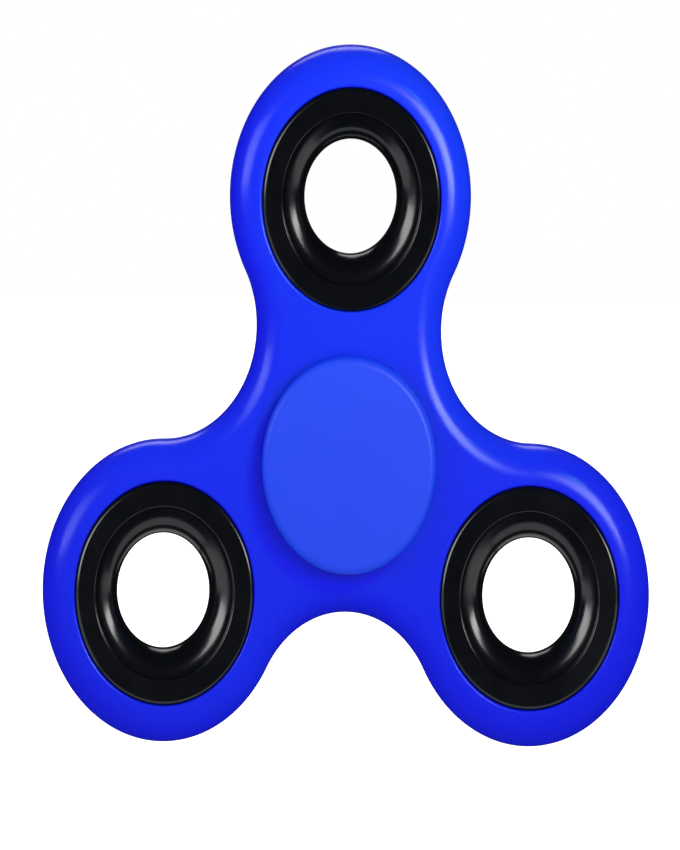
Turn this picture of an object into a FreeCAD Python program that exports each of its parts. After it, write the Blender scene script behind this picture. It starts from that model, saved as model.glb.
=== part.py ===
import FreeCAD, Part
import math
import os

# A three-lobed fidget spinner on a 608 ball bearing, held between two finger caps.
# Millimetres. The spin axis is Y, through the origin at the bearing's centre. The front faces -Y,
# +X is to the right and +Z is up, through the top lobe.

# Driving dimensions
LOBE_ANGLES = {"top": 90, "left": 210, "right": 330}  # degrees from +X towards +Z
LOBE_DISTANCE = 25.9      # spin axis to the centre of a lobe
LOBE_RADIUS = 14.8
WAIST = 14.8              # spin axis to the outline, half-way between two lobes
BODY_THICKNESS = 7.6
BODY_EDGE = 3.2           # rounding of the outline's edge, front and back
BORE_RADIUS = 11.0        # the holes for the weight rings and the pocket for the bearing
BORE_EDGE = 0.3
LIP_RADIUS = 10.3         # opening of the thin lips that hold the bearing in its pocket
LIP_EDGE = 0.1

RING_EYE = 5.65           # radius of the hole through a weight ring
RING_STEP_RADIUS = 8.5    # wall of the step inside the flat outer band
RING_STEP_DEPTH = 0.8
RING_STEP_EDGE = 0.15
RING_ROLL = 2.7           # the rolled inner edge, from the step's floor into the eye
RING_EDGE = 0.5

BEARING_WIDTH = 7.0
BALL_COUNT = 7
BALL_RADIUS = 1.9845      # a 5/32 inch ball
PITCH_RADIUS = 7.5        # spin axis to the balls' centres
GROOVE_RADIUS = 2.06
BALL_CLEARANCE = 0.02     # between a ball and the bottom of each groove
RACE_BORE = 4.0
RACE_EDGE = 0.3           # rounding of the races where they meet other parts
INNER_LAND = 6.05
INNER_LAND_EDGE = 0.2
OUTER_LAND = 8.95
SHEET = 0.25              # thickness of the shields' steel
SHIELD_SEAT = 2.5         # mid-plane to the shoulder that a shield rests on
SHIELD_RECESS = 9.5       # radius of the recess that holds a shield
SHIELD_RADIUS = 9.45
SHIELD_FLANGE = 0.6       # width of the flange on the shoulder
SHIELD_SLOPE = 0.4        # width of the sloping wall inside the flange
SHIELD_RISE = 0.45        # flange to the raised disc
SHIELD_HOLE = 6.3
SHIELD_EDGE = 0.1
SHIELD_LAP = 0.15         # how much wider the slope is outside than inside, for an even thickness
SNAP_WIRE = 0.25          # radius of the snap ring's wire
SNAP_CLEARANCE = 0.02
SNAP_DEPTH = 0.05         # shield's recess to the middle of the wire, which lies partly in the race
SNAP_TURN = 340           # degrees of the split snap ring

CAGE_SHEET = 0.3
CAGE_INNER = 6.6
CAGE_OUTER = 8.4
POCKET_CLEARANCE = 0.08
RIVET_RADIUS = 0.3
RIVET_CLEARANCE = 0.02
RIVET_HEAD_RADIUS = 0.5
RIVET_HEAD = 0.2

CAP_RADIUS = 10.7
CAP_THICKNESS = 2.0
CAP_GAP = 0.6             # between a cap and the body's face
CAP_EDGE = 0.8
CAP_BACK_EDGE = 0.2
COLLAR_RADIUS = 5.4       # the cap's foot, on the inner race only
STEM_CLEARANCE = 0.02     # between a cap's stem and the inner race
STEM_GAP = 0.1            # mid-plane to the end of each stem
STEM_EDGE = 0.3
PLUG_RADIUS = 2.5         # the back cap's plug and the front cap's socket
PLUG_END = 4.4            # mid-plane to the plug's end, inside the front cap
PLUG_EDGE = 0.4
SOCKET_EDGE = 0.2
SOCKET_END = 5.0          # mid-plane to the socket's floor

TO_WAIST = 60             # degrees from a lobe to the waist beside it
CUTTER_SPARE = 1.0        # how far a through hole's cutter stands out of each face
TOLERANCE = 1e-6

# Worked out from the driving dimensions
HALF = BODY_THICKNESS / 2
BEARING_HALF = BEARING_WIDTH / 2
SIDES = {"front": -1, "back": 1}
BALL_STEP = 360 / BALL_COUNT
POCKET_RADIUS = BALL_RADIUS + POCKET_CLEARANCE
CAP_UNDERSIDE = HALF + CAP_GAP
CAP_FACE = CAP_UNDERSIDE + CAP_THICKNESS
SNAP_RADIUS = SHIELD_RECESS - SNAP_DEPTH
SNAP_PLACE = SHIELD_SEAT + SHEET + SNAP_WIRE

ORIGIN = FreeCAD.Vector(0, 0, 0)
SPIN_AXIS = FreeCAD.Vector(0, 1, 0)


def polar(distance, degrees):
    """The point at this distance from the spin axis, at an angle from +X towards +Z."""
    angle = math.radians(degrees)
    return FreeCAD.Vector(distance * math.cos(angle), 0, distance * math.sin(angle))


def towards(start, goal, distance):
    """The point this far from start on the way to goal."""
    way = goal - start
    return start + way * (distance / way.Length)


def turned(corners):
    """A solid turned about the spin axis. Its section's corners are (radius, y, rounding)."""
    points = [FreeCAD.Vector(radius, y, 0) for radius, y, rounding in corners]
    edges = []
    bends = []
    for i, point in enumerate(points):
        before = points[i - 1]
        after = points[(i + 1) % len(points)]
        rounding = corners[i][2]
        half_angle = (before - point).getAngle(after - point) / 2
        trim = rounding / math.tan(half_angle)
        enter = towards(point, before, trim)
        leave = towards(point, after, trim)
        middle = point
        if rounding:
            inset = rounding / math.sin(half_angle) - rounding
            middle = towards(point, (enter + leave) / 2, inset)
        bends.append((enter, middle, leave))
    for i, (enter, middle, leave) in enumerate(bends):
        if corners[i][2]:
            edges.append(Part.Arc(enter, middle, leave).toShape())
        following = bends[(i + 1) % len(bends)][0]
        if (following - leave).Length > TOLERANCE:
            edges.append(Part.LineSegment(leave, following).toShape())
    return Part.Face(Part.Wire(edges)).revolve(ORIGIN, SPIN_AXIS, 360)


def mirrored(corners):
    """A section that is the same front and back, from its front half, listed outside to inside."""
    return corners + [(radius, -y, rounding) for radius, y, rounding in reversed(corners)]


def torus(centre_radius, radius, y=0.0):
    return Part.makeTorus(centre_radius, radius, FreeCAD.Vector(0, y, 0), SPIN_AXIS)


def disc(radius, thickness, centre):
    """A cylinder along the spin axis, half its thickness each side of its centre."""
    return Part.makeCylinder(radius, thickness, centre - SPIN_AXIS * (thickness / 2), SPIN_AXIS)


def body_outline():
    """Three convex lobes joined by concave flanks, each arc tangent to the next."""
    flank_radius = (
        (WAIST**2 - WAIST * LOBE_DISTANCE + LOBE_DISTANCE**2 - LOBE_RADIUS**2)
        / (2 * LOBE_RADIUS - 2 * WAIST + LOBE_DISTANCE)
    )
    edges = []
    for angle in LOBE_ANGLES.values():
        lobe = polar(LOBE_DISTANCE, angle)
        flank_before = polar(WAIST + flank_radius, angle - TO_WAIST)
        flank_after = polar(WAIST + flank_radius, angle + TO_WAIST)
        next_lobe = polar(LOBE_DISTANCE, angle + 2 * TO_WAIST)
        start = towards(lobe, flank_before, LOBE_RADIUS)
        end = towards(lobe, flank_after, LOBE_RADIUS)
        next_start = towards(next_lobe, flank_after, LOBE_RADIUS)
        edges.append(Part.Arc(start, polar(LOBE_DISTANCE + LOBE_RADIUS, angle), end).toShape())
        edges.append(Part.Arc(end, polar(WAIST, angle + TO_WAIST), next_start).toShape())
    return Part.Wire(edges)


def through_hole(radius, centre):
    """A cutter longer than the body is thick."""
    return disc(radius, BODY_THICKNESS + 2 * CUTTER_SPARE, centre)


def mouths(body, radius):
    """The circular edges of this radius where holes meet the body's two faces."""
    found = []
    for edge in body.Edges:
        if not isinstance(edge.Curve, Part.Circle) or not edge.isClosed():
            continue
        on_face = abs(abs(edge.Curve.Center.y) - HALF) < TOLERANCE
        if on_face and abs(edge.Curve.Radius - radius) < TOLERANCE:
            found.append(edge)
    return found


def spinner_body():
    """The moulded body: three holes for the weight rings, and a lipped pocket for the bearing."""
    slab = Part.Face(body_outline()).extrude(SPIN_AXIS * BODY_THICKNESS)
    slab.translate(SPIN_AXIS * -HALF)
    outline = [edge for edge in slab.Edges if edge.BoundBox.YLength < TOLERANCE]
    body = slab.makeFillet(BODY_EDGE, outline)
    for angle in LOBE_ANGLES.values():
        body = body.cut(through_hole(BORE_RADIUS, polar(LOBE_DISTANCE, angle)))
    body = body.cut(disc(BORE_RADIUS, BEARING_WIDTH, ORIGIN))
    body = body.cut(through_hole(LIP_RADIUS, ORIGIN))
    body = body.makeFillet(BORE_EDGE, mouths(body, BORE_RADIUS))
    return body.makeFillet(LIP_EDGE, mouths(body, LIP_RADIUS))


def weight_ring(angle):
    floor = HALF - RING_STEP_DEPTH
    ring = turned(mirrored([
        (BORE_RADIUS, -HALF, RING_EDGE),
        (RING_STEP_RADIUS, -HALF, RING_STEP_EDGE),
        (RING_STEP_RADIUS, -floor, 0),
        (RING_EYE, -floor, RING_ROLL),
    ]))
    ring.translate(polar(LOBE_DISTANCE, angle))
    return ring


def bearing_outer_race():
    race = turned(mirrored([
        (BORE_RADIUS, -BEARING_HALF, RACE_EDGE),
        (SHIELD_RECESS, -BEARING_HALF, SHIELD_EDGE),
        (SHIELD_RECESS, -SHIELD_SEAT, 0),
        (OUTER_LAND, -SHIELD_SEAT, 0),
    ]))
    groove_centre = PITCH_RADIUS + BALL_RADIUS + BALL_CLEARANCE - GROOVE_RADIUS
    race = race.cut(torus(groove_centre, GROOVE_RADIUS))
    for side in SIDES.values():
        race = race.cut(torus(SNAP_RADIUS, SNAP_WIRE + SNAP_CLEARANCE, side * SNAP_PLACE))
    return race


def bearing_inner_race():
    race = turned(mirrored([
        (INNER_LAND, -BEARING_HALF, INNER_LAND_EDGE),
        (RACE_BORE, -BEARING_HALF, RACE_EDGE),
    ]))
    groove_centre = PITCH_RADIUS - BALL_RADIUS - BALL_CLEARANCE + GROOVE_RADIUS
    return race.cut(torus(groove_centre, GROOVE_RADIUS))


def shield(side):
    """A pressed washer: a flange on the outer race's shoulder, and a disc raised towards the face."""
    seat = side * SHIELD_SEAT
    raised = side * (SHIELD_SEAT + SHIELD_RISE)
    sheet = side * SHEET
    foot = SHIELD_RADIUS - SHIELD_FLANGE
    shoulder = foot - SHIELD_SLOPE
    return turned([
        (SHIELD_RADIUS, seat, 0),
        (foot, seat, 0),
        (shoulder, raised, 0),
        (SHIELD_HOLE, raised, 0),
        (SHIELD_HOLE, raised + sheet, SHIELD_EDGE),
        (shoulder + SHIELD_LAP, raised + sheet, SHIELD_EDGE),
        (foot + SHIELD_LAP, seat + sheet, 0),
        (SHIELD_RADIUS, seat + sheet, 0),
    ])


def snap_ring(side):
    """A split ring of round wire, with its gap at the top of the front and the bottom of the back."""
    centre = FreeCAD.Vector(SNAP_RADIUS, side * SNAP_PLACE, 0)
    section = Part.Circle(centre, FreeCAD.Vector(0, 0, 1), SNAP_WIRE).toShape()
    ring = Part.Face(Part.Wire([section])).revolve(ORIGIN, SPIN_AXIS, SNAP_TURN)
    gap_middle = SNAP_TURN / 2 + 180
    ring.rotate(ORIGIN, SPIN_AXIS, side * 90 - gap_middle)
    return ring


def ball_place(number):
    return polar(PITCH_RADIUS, 90 + BALL_STEP * (number - 1))


def ball(number):
    return Part.makeSphere(BALL_RADIUS, ball_place(number))


def rivet_place(number):
    return polar(PITCH_RADIUS, 90 + BALL_STEP * (number - 0.5))


def cage_half(side):
    """Half of a pressed ribbon cage: flat between the balls, and domed around each ball."""
    middle = SPIN_AXIS * (side * CAGE_SHEET / 2)
    shape = disc(CAGE_OUTER, CAGE_SHEET, middle)
    numbers = range(1, BALL_COUNT + 1)
    for number in numbers:
        dome = Part.makeSphere(POCKET_RADIUS + CAGE_SHEET, ball_place(number))
        shape = shape.fuse(dome)
    shape = shape.common(disc(CAGE_OUTER, HALF, SPIN_AXIS * (side * HALF / 2)))
    shape = shape.cut(through_hole(CAGE_INNER, ORIGIN))
    for number in numbers:
        shape = shape.cut(Part.makeSphere(POCKET_RADIUS, ball_place(number)))
        shape = shape.cut(through_hole(RIVET_RADIUS + RIVET_CLEARANCE, rivet_place(number)))
    return shape


def cage_rivets():
    """One small rivet in each gap between two balls, headed on both sides."""
    rivets = []
    for number in range(1, BALL_COUNT + 1):
        rivet = disc(RIVET_RADIUS, 2 * CAGE_SHEET, rivet_place(number))
        for side in SIDES.values():
            head = rivet_place(number) + SPIN_AXIS * (side * (CAGE_SHEET + RIVET_HEAD / 2))
            rivet = rivet.fuse(disc(RIVET_HEAD_RADIUS, RIVET_HEAD, head))
        rivets.append(rivet)
    return Part.makeCompound(rivets)


def cap_rim(side):
    """The part of a section that both caps share, from the middle of the face to the stem's root."""
    return [
        (0, side * CAP_FACE, 0),
        (CAP_RADIUS, side * CAP_FACE, CAP_EDGE),
        (CAP_RADIUS, side * CAP_UNDERSIDE, CAP_BACK_EDGE),
        (COLLAR_RADIUS, side * CAP_UNDERSIDE, 0),
        (COLLAR_RADIUS, side * BEARING_HALF, 0),
        (RACE_BORE - STEM_CLEARANCE, side * BEARING_HALF, 0),
        (RACE_BORE - STEM_CLEARANCE, side * STEM_GAP, STEM_EDGE),
    ]


def cap_front():
    """The cap with a hollow stem."""
    return turned(cap_rim(SIDES["front"]) + [
        (PLUG_RADIUS, -STEM_GAP, SOCKET_EDGE),
        (PLUG_RADIUS, -SOCKET_END, 0),
        (0, -SOCKET_END, 0),
    ])


def cap_back():
    """The cap with a plug that pushes into the front cap's stem."""
    return turned(cap_rim(SIDES["back"]) + [
        (PLUG_RADIUS, STEM_GAP, 0),
        (PLUG_RADIUS, -PLUG_END, PLUG_EDGE),
        (0, -PLUG_END, 0),
    ])


def parts():
    shapes = {
        "spinner_body": spinner_body(),
        "bearing_outer_race": bearing_outer_race(),
        "bearing_inner_race": bearing_inner_race(),
        "cage_rivets": cage_rivets(),
        "cap_front": cap_front(),
        "cap_back": cap_back(),
    }
    for name, angle in LOBE_ANGLES.items():
        shapes["weight_ring_" + name] = weight_ring(angle)
    for name, side in SIDES.items():
        shapes["shield_" + name] = shield(side)
        shapes["snap_ring_" + name] = snap_ring(side)
        shapes["cage_" + name] = cage_half(side)
    for number in range(1, BALL_COUNT + 1):
        shapes[f"ball_{number}"] = ball(number)
    return shapes


def main():
    os.makedirs("parts", exist_ok=True)
    for name, shape in sorted(parts().items()):
        shape.exportStep(f"parts/{name}.step")
        print(f"{name}: {len(shape.Solids)} solid(s), valid {shape.isValid()}, {shape.Volume:.1f} mm3")


main()
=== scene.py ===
import math

import bmesh
import bpy
from mathutils import Matrix, Vector


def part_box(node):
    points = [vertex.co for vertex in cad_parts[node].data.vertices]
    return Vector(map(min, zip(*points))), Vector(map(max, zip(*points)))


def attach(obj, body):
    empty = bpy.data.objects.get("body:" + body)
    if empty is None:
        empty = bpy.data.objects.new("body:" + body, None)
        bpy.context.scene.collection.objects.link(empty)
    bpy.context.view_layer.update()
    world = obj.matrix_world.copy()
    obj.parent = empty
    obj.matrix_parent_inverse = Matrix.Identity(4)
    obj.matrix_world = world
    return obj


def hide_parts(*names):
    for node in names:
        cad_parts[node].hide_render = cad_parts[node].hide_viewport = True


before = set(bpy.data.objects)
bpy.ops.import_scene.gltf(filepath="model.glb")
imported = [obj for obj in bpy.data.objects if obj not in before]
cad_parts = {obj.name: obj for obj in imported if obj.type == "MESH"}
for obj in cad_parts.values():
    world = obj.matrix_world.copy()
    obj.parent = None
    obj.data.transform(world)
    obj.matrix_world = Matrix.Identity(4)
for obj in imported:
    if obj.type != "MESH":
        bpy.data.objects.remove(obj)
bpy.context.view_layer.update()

# A three-lobed fidget spinner. Metres. The spin axis is Y, the front faces -Y, and +Z is up.
MM = 0.001

# Sizes that the frame's boxes don't give
BODY_EDGE = 3.2 * MM          # rounding of the body's outer edge
WAIST = 14.8 * MM             # spin axis to the outline, half-way between two lobes
BORE_EDGE = 0.3 * MM
LIP_RADIUS = 10.3 * MM        # opening of the thin lips that hold the bearing in its pocket
LIP_EDGE = 0.1 * MM
PARTING_WIDTH = 0.14 * MM     # half the width of the mould's parting line round the body
PARTING_DEPTH = 0.05 * MM
RING_EYE = 5.65 * MM
RING_STEP_RADIUS = 8.5 * MM
RING_STEP_DEPTH = 0.8 * MM
RING_STEP_EDGE = 0.15 * MM
RING_ROLL = 2.7 * MM
RING_EDGE = 0.5 * MM
CAP_THICKNESS = 2.0 * MM
CAP_EDGE = 0.8 * MM
CAP_BACK_EDGE = 0.2 * MM      # rounding of a cap's edge on the side that faces the body
COLLAR_FILLET = 0.15 * MM
COLLAR_RADIUS = 5.4 * MM
STEM_RADIUS = 3.98 * MM
STEM_EDGE = 0.3 * MM
PLUG_RADIUS = 2.5 * MM
PLUG_EDGE = 0.4 * MM
SOCKET_EDGE = 0.2 * MM
STEM_GAP = 0.1 * MM
SOCKET_END = 5.0 * MM
PRESS_GAP = 0.004 * MM        # keeps the skins of two pressed-together pieces apart
BREAK = 0.06 * MM             # the smallest rounding of any edge

# Fineness of the meshes
ARC_STEP = math.radians(7.5)
TURN_STEPS = 144
OUTLINE_STEP = math.radians(2.5)
SAME_POINT = 1e-8
ON_AXIS = 1e-9
ON_FACE = 1e-7

# Places from the frame
body_low, body_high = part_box("spinner_body")
HALF = body_high.y
BEARING_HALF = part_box("bearing_outer_race")[1].y
LOBES = {"top": 90, "left": 210, "right": 330}
rings = {name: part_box("weight_ring_" + name) for name in LOBES}
ring_centres = {name: (low + high) / 2 for name, (low, high) in rings.items()}
BORE_RADIUS = (rings["top"][1].x - rings["top"][0].x) / 2
LOBE_DISTANCE = ring_centres["top"].z
LOBE_RADIUS = body_high.z - LOBE_DISTANCE
CAP_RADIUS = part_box("cap_front")[1].x
CAP_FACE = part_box("cap_back")[1].y
FLOOR_GAP = 1.2 * MM          # what the lobes clear the floor by as they swing past it
FLOOR_LEVEL = -(LOBE_DISTANCE + LOBE_RADIUS) - FLOOR_GAP


# ---------------------------------------------------------------- meshes

def outward(step):
    """The outward side of a section that is listed anticlockwise: the right of its direction."""
    return Vector((step.y, -step.x)).normalized()


def rounded(corners, closed=False):
    """Samples a section with corners (u, y, rounding) as pairs of a point and its normal."""
    points = [Vector(corner[:2]) for corner in corners]
    rows = []
    for i, point in enumerate(points):
        first = i == 0 and not closed
        last = i == len(points) - 1 and not closed
        before = points[i - 1]
        after = points[(i + 1) % len(points)]
        if first or last:
            rows.append((point, outward(after - point if first else point - before)))
            continue
        normal = outward(point - before)
        turn = math.atan2((point - before).cross(after - point), (point - before).dot(after - point))
        rounding = math.copysign(corners[i][2], turn)
        start = point - (point - before).normalized() * abs(rounding * math.tan(turn / 2))
        centre = start - normal * rounding
        steps = max(2, math.ceil(abs(turn) / ARC_STEP))
        for k in range(steps + 1):
            swung = normal.copy()
            swung.rotate(Matrix.Rotation(turn * k / steps, 2))
            rows.append((centre + swung * rounding, swung))
    apart = [i == 0 or (row[0] - rows[i - 1][0]).length > SAME_POINT for i, row in enumerate(rows)]
    return [row for row, kept in zip(rows, apart) if kept]


def grid(bm, normals, rows, path, closed):
    """Sweeps rows of a section along a closed path of (place, out direction) pairs."""
    loops = []
    turning = path[0][0] == path[1][0]
    for point, normal in rows:
        pole = turning and abs(point.x) < ON_AXIS
        loop = []
        for place, out in path[:1] if pole else path:
            loop.append(bm.verts.new(place + out * point.x + Vector((0, point.y, 0))))
            normals.append((out * normal.x + Vector((0, normal.y, 0))).normalized())
        loops.append(loop * len(path) if pole else loop)
    pairs = list(zip(loops, loops[1:]))
    if closed:
        pairs.append((loops[-1], loops[0]))
    for upper, lower in pairs:
        for i in range(len(path)):
            j = (i + 1) % len(path)
            corners = [upper[i], upper[j], lower[j], lower[i]]
            face = [v for k, v in enumerate(corners) if v is not corners[k - 1]]
            bm.faces.new(face)


def circle(centre):
    """A path that turns about the spin direction through centre."""
    path = []
    for i in range(TURN_STEPS):
        angle = 2 * math.pi * i / TURN_STEPS
        path.append((centre, Vector((math.cos(angle), 0, math.sin(angle)))))
    return path


def finished(name, bm, normals, made_material, body, node):
    """Turns a bmesh into a smooth piece that rides on its body and stands for its CAD node."""
    bmesh.ops.recalc_face_normals(bm, faces=bm.faces)
    mesh = bpy.data.meshes.new(name)
    bm.to_mesh(mesh)
    bm.free()
    mesh.polygons.foreach_set("use_smooth", [True] * len(mesh.polygons))
    mesh.normals_split_custom_set_from_vertices(normals)
    mesh.materials.append(made_material)
    piece = bpy.data.objects.new(name, mesh)
    bpy.context.scene.collection.objects.link(piece)
    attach(piece, body)
    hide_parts(node)
    return piece


def polar(distance, angle):
    return Vector((distance * math.cos(angle), 0, distance * math.sin(angle)))


def arc(centre, radius, start, end, facing):
    """Path points along an arc, leaving out its last. Facing is 1 where the body is inside the arc,
    and -1 where it is outside."""
    steps = round(abs(end - start) / OUTLINE_STEP)
    path = []
    for i in range(steps):
        out = polar(1, start + (end - start) * i / steps)
        path.append((centre + out * radius, out * facing))
    return path


def body_outline():
    """Three lobes joined by concave flanks, as points with their outward directions."""
    flank_radius = (
        (WAIST**2 - WAIST * LOBE_DISTANCE + LOBE_DISTANCE**2 - LOBE_RADIUS**2)
        / (2 * LOBE_RADIUS - 2 * WAIST + LOBE_DISTANCE)
    )
    sixth = math.radians(60)
    lobe = Vector((LOBE_DISTANCE, 0, 0))
    flank = polar(WAIST + flank_radius, sixth)
    half_lobe = math.atan2((flank - lobe).z, (flank - lobe).x)
    half_flank = half_lobe - sixth
    path = []
    for degrees in LOBES.values():
        angle = math.radians(degrees)
        centre = polar(LOBE_DISTANCE, angle)
        path += arc(centre, LOBE_RADIUS, angle - half_lobe, angle + half_lobe, 1)
        centre = polar(WAIST + flank_radius, angle + sixth)
        facing_in = angle + sixth + math.pi
        path += arc(centre, flank_radius, facing_in + half_flank, facing_in - half_flank, -1)
    return path


def build_body(made_material):
    """The moulded body: a rounded rim, three bores, the bearing's pocket, and flat faces between."""
    bm = bmesh.new()
    normals = []
    rim = rounded([
        (-BODY_EDGE, -HALF, 0),
        (0, -HALF, BODY_EDGE),
        (0, -PARTING_WIDTH, BREAK),
        (-PARTING_DEPTH, 0, BREAK / 2),
        (0, PARTING_WIDTH, BREAK),
        (0, HALF, BODY_EDGE),
        (-BODY_EDGE, HALF, 0),
    ])
    grid(bm, normals, rim, body_outline(), False)
    bore = rounded([
        (BORE_RADIUS + BORE_EDGE, HALF, 0),
        (BORE_RADIUS, HALF, BORE_EDGE),
        (BORE_RADIUS, -HALF, BORE_EDGE),
        (BORE_RADIUS + BORE_EDGE, -HALF, 0),
    ])
    for centre in ring_centres.values():
        grid(bm, normals, bore, circle(centre), False)
    pocket_end = BEARING_HALF + PRESS_GAP
    pocket = rounded([
        (LIP_RADIUS + LIP_EDGE, HALF, 0),
        (LIP_RADIUS, HALF, LIP_EDGE),
        (LIP_RADIUS, pocket_end, BREAK),
        (BORE_RADIUS, pocket_end, BREAK),
        (BORE_RADIUS, -pocket_end, BREAK),
        (LIP_RADIUS, -pocket_end, BREAK),
        (LIP_RADIUS, -HALF, LIP_EDGE),
        (LIP_RADIUS + LIP_EDGE, -HALF, 0),
    ])
    grid(bm, normals, pocket, circle(Vector()), False)
    for side in (-1, 1):
        border = []
        for edge in bm.edges:
            middle = (edge.verts[0].co.y + edge.verts[1].co.y) / 2
            if edge.is_boundary and abs(middle - side * HALF) < ON_FACE:
                border.append(edge)
        bmesh.ops.triangle_fill(bm, use_beauty=True, edges=border)
    return finished("moulded_body", bm, normals, made_material, "rotor", "spinner_body")


def build_ring(name, made_material):
    """A weight ring: flat outer band, a step down, and a rolled edge into the eye."""
    floor = HALF - RING_STEP_DEPTH
    outer = BORE_RADIUS - PRESS_GAP
    back_half = [
        (RING_EYE, floor, RING_ROLL),
        (RING_STEP_RADIUS, floor, BREAK),
        (RING_STEP_RADIUS, HALF, RING_STEP_EDGE),
        (outer, HALF, RING_EDGE),
    ]
    front_half = [(radius, -y, rounding) for radius, y, rounding in reversed(back_half)]
    section = [(r, y, rounding) for r, y, rounding in reversed(back_half + front_half)]
    bm = bmesh.new()
    normals = []
    grid(bm, normals, rounded(section, closed=True), circle(ring_centres[name]), True)
    return finished(
        "coated_ring_" + name, bm, normals, made_material, "rotor", "weight_ring_" + name,
    )


def build_cap(side, made_material):
    """A finger cap with its collar and stem. The front one is hollow and the back one has the plug."""
    underside = CAP_FACE - CAP_THICKNESS
    section = [
        (0, CAP_FACE, 0),
        (CAP_RADIUS, CAP_FACE, CAP_EDGE),
        (CAP_RADIUS, underside, CAP_BACK_EDGE),
        (COLLAR_RADIUS, underside, COLLAR_FILLET),
        (COLLAR_RADIUS, BEARING_HALF + PRESS_GAP, BREAK),
        (STEM_RADIUS, BEARING_HALF + PRESS_GAP, BREAK),
        (STEM_RADIUS, STEM_GAP, STEM_EDGE),
    ]
    if side < 0:
        section += [
            (PLUG_RADIUS + PRESS_GAP, STEM_GAP, SOCKET_EDGE),
            (PLUG_RADIUS + PRESS_GAP, SOCKET_END, BREAK),
            (0, SOCKET_END, 0),
        ]
    else:
        plug_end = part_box("cap_back")[0].y
        section += [
            (PLUG_RADIUS, STEM_GAP, BREAK),
            (PLUG_RADIUS, plug_end, PLUG_EDGE),
            (0, plug_end, 0),
        ]
    if side < 0:
        section = [(radius, -y, rounding) for radius, y, rounding in section]
    else:
        section.reverse()
    bm = bmesh.new()
    normals = []
    grid(bm, normals, rounded(section), circle(Vector()), False)
    name = "front" if side < 0 else "back"
    return finished(
        "finger_cap_" + name, bm, normals, made_material, "hub", "cap_" + name,
    )


# ---------------------------------------------------------------- materials

def new_material(name):
    made = bpy.data.materials.new(name)
    made.use_nodes = True
    return made, made.node_tree, made.node_tree.nodes["Principled BSDF"]


def add(tree, kind, settings=None, **values):
    """A node with its settings, and its input values by name with underscores for spaces."""
    node = tree.nodes.new(kind)
    for key, value in (settings or {}).items():
        setattr(node, key, value)
    for key, value in values.items():
        node.inputs[key.replace("_", " ")].default_value = value
    return node


def noise(tree, vector, size, detail=3.0):
    """Noise whose blotches are about this size, in metres."""
    made = add(tree, "ShaderNodeTexNoise", Scale=1 / size, Detail=detail)
    tree.links.new(vector, made.inputs["Vector"])
    return made.outputs["Fac"]


def spread(tree, value, low, high):
    """Maps the middle of a noise onto the range from low to high."""
    made = add(tree, "ShaderNodeMapRange", From_Min=0.3, From_Max=0.7, To_Min=low, To_Max=high)
    tree.links.new(value, made.inputs["Value"])
    return made.outputs["Result"]


def blended(tree, value, first, second):
    """Mixes two colours by a noise."""
    made = add(tree, "ShaderNodeMix", {"data_type": "RGBA"})
    made.inputs["A"].default_value = (*first, 1)
    made.inputs["B"].default_value = (*second, 1)
    tree.links.new(spread(tree, value, 0, 1), made.inputs["Factor"])
    return made.outputs["Result"]


def bumped(tree, height, depth, strength=1.0):
    """The normal of a surface whose relief is this deep, in metres."""
    made = add(tree, "ShaderNodeBump", Strength=strength, Distance=depth)
    tree.links.new(height, made.inputs["Height"])
    return made.outputs["Normal"]


def object_place(tree):
    return add(tree, "ShaderNodeTexCoord").outputs["Object"]


def plastic(name, colour, deeper, roughness, grain, grain_depth):
    """Moulded ABS: a slightly uneven colour and gloss, and the fine grain of the mould."""
    made, tree, shader = new_material(name)
    place = object_place(tree)
    clouds = noise(tree, place, 9 * MM)
    fine = noise(tree, place, grain, detail=2.0)
    tree.links.new(blended(tree, clouds, colour, deeper), shader.inputs["Base Color"])
    tree.links.new(spread(tree, fine, roughness - 0.03, roughness + 0.03), shader.inputs["Roughness"])
    tree.links.new(bumped(tree, fine, grain_depth), shader.inputs["Normal"])
    shader.inputs["IOR"].default_value = 1.52
    return made


def black_coating(name):
    """Black-coated steel: near black, satin, with the faint orange peel of the coating."""
    made, tree, shader = new_material(name)
    place = object_place(tree)
    clouds = noise(tree, place, 4 * MM)
    peel = noise(tree, place, 0.6 * MM, detail=2.0)
    tree.links.new(
        blended(tree, clouds, (0.0011, 0.0016, 0.0028), (0.0017, 0.0023, 0.0038)),
        shader.inputs["Base Color"],
    )
    tree.links.new(spread(tree, clouds, 0.17, 0.21), shader.inputs["Roughness"])
    tree.links.new(bumped(tree, peel, 0.004 * MM), shader.inputs["Normal"])
    shader.inputs["IOR"].default_value = 1.5
    return made


def spin_radius(tree):
    """The distance from the spin axis, for marks that run round it."""
    flat = add(tree, "ShaderNodeVectorMath", {"operation": "MULTIPLY"})
    flat.inputs[1].default_value = (1, 0, 1)
    tree.links.new(object_place(tree), flat.inputs[0])
    length = add(tree, "ShaderNodeVectorMath", {"operation": "LENGTH"})
    tree.links.new(flat.outputs["Vector"], length.inputs[0])
    return length.outputs["Value"]


def turned_steel(name, colour, deeper, roughness, line):
    """Steel with fine marks that run round the spin axis, a line's width apart."""
    made, tree, shader = new_material(name)
    lines = add(tree, "ShaderNodeTexNoise", {"noise_dimensions": "1D"}, Scale=1 / line, Detail=4.0)
    tree.links.new(spin_radius(tree), lines.inputs["W"])
    clouds = noise(tree, object_place(tree), 2.5 * MM)
    tree.links.new(blended(tree, clouds, colour, deeper), shader.inputs["Base Color"])
    tree.links.new(
        spread(tree, lines.outputs["Fac"], roughness - 0.06, roughness + 0.10),
        shader.inputs["Roughness"],
    )
    tree.links.new(bumped(tree, lines.outputs["Fac"], 0.003 * MM), shader.inputs["Normal"])
    shader.inputs["Metallic"].default_value = 1.0
    return made


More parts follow.
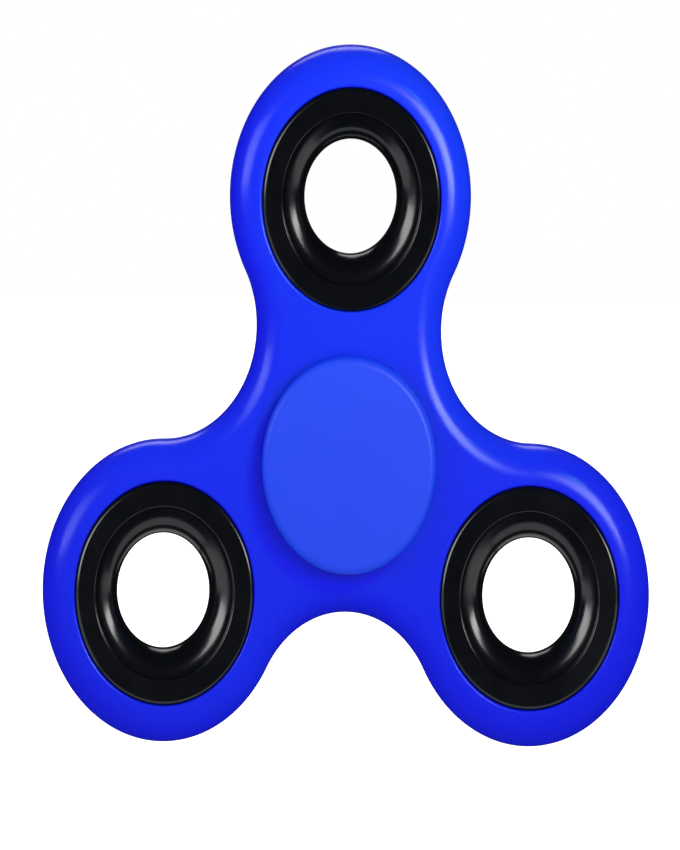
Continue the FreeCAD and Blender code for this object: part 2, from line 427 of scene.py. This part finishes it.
def plain_steel(name, colour, deeper, roughness, mark):
    """Pressed, drawn or polished steel, with marks of one size all over."""
    made, tree, shader = new_material(name)
    place = object_place(tree)
    marks = noise(tree, place, mark)
    tree.links.new(blended(tree, marks, colour, deeper), shader.inputs["Base Color"])
    tree.links.new(spread(tree, marks, roughness - 0.05, roughness + 0.08), shader.inputs["Roughness"])
    tree.links.new(bumped(tree, marks, 0.002 * MM), shader.inputs["Normal"])
    shader.inputs["Metallic"].default_value = 1.0
    return made


def finish_bearing():
    """Gives the bearing's CAD nodes their steels."""
    ground = turned_steel("ground_steel", (0.62, 0.62, 0.64), (0.50, 0.50, 0.53), 0.26, 0.05 * MM)
    pressed = turned_steel("pressed_shield", (0.66, 0.66, 0.67), (0.55, 0.56, 0.58), 0.30, 0.12 * MM)
    cage = plain_steel("cage_steel", (0.55, 0.54, 0.52), (0.42, 0.41, 0.40), 0.34, 0.5 * MM)
    rivet = plain_steel("rivet_steel", (0.60, 0.58, 0.55), (0.48, 0.46, 0.44), 0.30, 0.2 * MM)
    wire = plain_steel("spring_wire", (0.38, 0.37, 0.37), (0.26, 0.26, 0.27), 0.36, 0.3 * MM)
    ball = plain_steel("ball_steel", (0.78, 0.78, 0.80), (0.70, 0.70, 0.73), 0.09, 0.8 * MM)
    finishes = {
        "bearing_outer_race": ground,
        "bearing_inner_race": ground,
        "shield_front": pressed,
        "shield_back": pressed,
        "cage_front": cage,
        "cage_back": cage,
        "cage_rivets": rivet,
        "snap_ring_front": wire,
        "snap_ring_back": wire,
    }
    for name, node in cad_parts.items():
        chosen = ball if name.startswith("ball_") else finishes.get(name)
        if chosen:
            node.material_slots[0].material = chosen


# ---------------------------------------------------------------- studio

def light_group(name, pieces, state):
    """The pieces that a light reaches, for INCLUDE, or leaves to other lights, for EXCLUDE."""
    group = bpy.data.collections.new(name)
    for piece in pieces:
        group.objects.link(piece)
    for member in group.collection_objects:
        member.light_linking.link_state = state
    return group


def softbox(name, place, size, brightness, colour=(1, 1, 1), glossy=True, group=None,
            facing=(0, 0, 0), beam=180):
    """A soft area light that faces the spinner. With a beam of 180 degrees its brightness is what a
    mirror would show of it. A narrower beam sends the same power out in fewer directions, so it is
    brighter than that straight ahead, and dimmer to the sides."""
    light = bpy.data.lights.new(name, "AREA")
    light.shape = "RECTANGLE"
    light.size, light.size_y = size
    light.energy = brightness * math.pi * light.size * light.size_y
    light.color = colour
    light.spread = math.radians(beam)
    hang(light, place, facing, glossy, group)


def hang(light, place, facing, glossy, group):
    """Puts a light in its place, turned to what it faces."""
    lamp = bpy.data.objects.new(light.name, light)
    bpy.context.scene.collection.objects.link(lamp)
    lamp.location = place
    lamp.rotation_euler = (Vector(place) - Vector(facing)).to_track_quat("Z", "Y").to_euler()
    lamp.visible_camera = False
    lamp.visible_glossy = glossy
    lamp.light_linking.receiver_collection = group


def green_wash(group):
    """A soft green spotlight that lightens the blue of the upper part of the body, and fades out
    towards the floor. It doesn't show in reflections."""
    light = bpy.data.lights.new("green_wash", "SPOT")
    light.energy = 6.5
    light.color = (0.2, 1.0, 0.0)
    light.shadow_soft_size = 0.02
    light.spot_size = math.radians(32)
    light.spot_blend = 1.0
    hang(light, (0.09, -0.13, 0.11), (0, 0, 0.022), False, group)


def pale_floor():
    """A pale floor just below the swing of the lobes. It gives off some light of its own, to show
    as white, and is left out of reflections and of the light that bounces onto the spinner."""
    mesh = bpy.data.meshes.new("floor")
    reach = 0.6
    corners = [(-reach, -reach), (reach, -reach), (reach, reach), (-reach, reach)]
    mesh.from_pydata([(x, y, FLOOR_LEVEL) for x, y in corners], [], [(0, 1, 2, 3)])
    floor = bpy.data.objects.new("floor", mesh)
    bpy.context.scene.collection.objects.link(floor)
    made, tree, shader = new_material("pale_floor")
    clouds = noise(tree, object_place(tree), 0.2)
    tree.links.new(
        blended(tree, clouds, (0.86, 0.86, 0.87), (0.83, 0.83, 0.84)),
        shader.inputs["Base Color"],
    )
    shader.inputs["Roughness"].default_value = 0.8
    shader.inputs["Emission Color"].default_value = (1, 1, 1, 1)
    shader.inputs["Emission Strength"].default_value = 0.8
    floor.data.materials.append(made)
    floor.visible_glossy = False
    floor.visible_diffuse = False


def white_room():
    """A room that shows as plain white, lights softly all round, and is dark in reflections."""
    seen = 1.0
    lighting = 0.66
    reflected = 0.015
    world = bpy.data.worlds.new("room")
    world.use_nodes = True
    bpy.context.scene.world = world
    tree = world.node_tree
    sky = tree.nodes["Background"]
    path = tree.nodes.new("ShaderNodeLightPath")
    for_gloss = add(tree, "ShaderNodeMapRange", To_Min=lighting, To_Max=reflected)
    tree.links.new(path.outputs["Is Glossy Ray"], for_gloss.inputs["Value"])
    strength = add(tree, "ShaderNodeMapRange", To_Max=seen)
    tree.links.new(path.outputs["Is Camera Ray"], strength.inputs["Value"])
    tree.links.new(for_gloss.outputs["Result"], strength.inputs["To Min"])
    tree.links.new(strength.outputs["Result"], sky.inputs["Strength"])
    sky.inputs["Color"].default_value = (1, 1, 1, 1)
    bpy.context.scene.view_settings.view_transform = "Standard"


def studio(body, coated_rings):
    """Lights close by for the plastic, wide ones further off for the black rings, and three behind
    for all of it. Each softbox has its place, its size and its brightness."""
    pale_floor()
    white_room()
    plastic_only = light_group("plastic_lights", coated_rings, "EXCLUDE")
    rings_only = light_group("ring_lights", coated_rings, "INCLUDE")
    cool = (0.80, 0.94, 1.0)
    softbox("key", (0.085, -0.150, 0.051), (0.078, 0.075), 2.3, cool, group=plastic_only,
            facing=(-0.02, 0, 0.06), beam=90)
    softbox("fill", (-0.170, -0.119, 0.078), (0.13, 0.11), 0.80, cool, group=plastic_only,
            facing=(0.02, 0, 0.09), beam=90)
    green_wash(light_group("body_lights", [body], "INCLUDE"))
    softbox("ring_key", (0.74, -0.65, 0.19), (0.55, 0.24), 12.0, group=rings_only)
    softbox("ring_fill", (-0.60, -0.76, 0.17), (0.70, 0.38), 8.0, group=rings_only)
    glow_level = FLOOR_LEVEL + 0.75 * FLOOR_GAP
    for x, y, width, depth, brightness in (
        (0, 0, 0.09, 0.07, 0.9),
        (-0.148, -0.085, 0.20, 0.23, 1.2),
        (0.148, -0.085, 0.20, 0.23, 1.2),
    ):
        softbox("ring_glow", (x, y, glow_level), (width, depth), brightness, group=rings_only,
                facing=(x, y, 0))
    softbox("top_rim", (0.0, 0.3, 0.4), (0.10, 0.14), 1.0)
    softbox("back_key", (-0.02, 0.28, 0.26), (0.20, 0.12), 1.8)
    softbox("back_wash", (-0.07, 0.7, 0.42), (0.7, 0.7), 0.8, glossy=False)


def camera():
    """A camera without perspective, a little above and to the left of straight on. Its upward
    direction leans back along the view, which makes the picture narrower for its height than a true
    one, as the photograph is. The spinner itself isn't squeezed, and other views don't lean."""
    squeeze = 0.795           # width of the picture against a true one of the same height
    distance = 0.4
    azimuth = math.radians(-2.3)
    elevation = math.radians(5.5)
    roll = math.radians(0.85)
    data = bpy.data.cameras.new("camera")
    data.type = "ORTHO"
    data.ortho_scale = 104.3 * MM
    made = bpy.data.objects.new("camera", data)
    bpy.context.scene.collection.objects.link(made)
    made.location = (0, 0, distance)
    stand = bpy.data.objects.new("camera_stand", None)
    bpy.context.scene.collection.objects.link(stand)
    made.parent = stand
    lean = Matrix.Identity(4)
    lean[1][1] = squeeze
    lean[2][1] = math.sqrt(1 - squeeze**2)
    turn = Matrix.Rotation(azimuth, 4, "Z") @ Matrix.Rotation(math.pi / 2 - elevation, 4, "X")
    aim = Matrix.Translation((-0.95 * MM, 0, 3.44 * MM))
    made.matrix_parent_inverse = aim @ turn @ Matrix.Rotation(roll, 4, "Z") @ lean
    bpy.context.scene.camera = made


# ---------------------------------------------------------------- the spinner

body_blue = plastic(
    "gloss_blue_abs",
    colour=(0.0004, 0.0064, 0.91),
    deeper=(0.0003, 0.0056, 0.88),
    roughness=0.24,
    grain=0.35 * MM,
    grain_depth=0.0015 * MM,
)
cap_blue = plastic(
    "satin_blue_abs",
    colour=(0.001, 0.053, 0.93),
    deeper=(0.001, 0.050, 0.90),
    roughness=0.42,
    grain=0.12 * MM,
    grain_depth=0.004 * MM,
)
coating = black_coating("black_coating")

moulded_body = build_body(body_blue)
coated_rings = [build_ring(ring_name, coating) for ring_name in LOBES]
build_cap(-1, cap_blue)
build_cap(1, cap_blue)
finish_bearing()
studio(moulded_body, coated_rings)
camera()
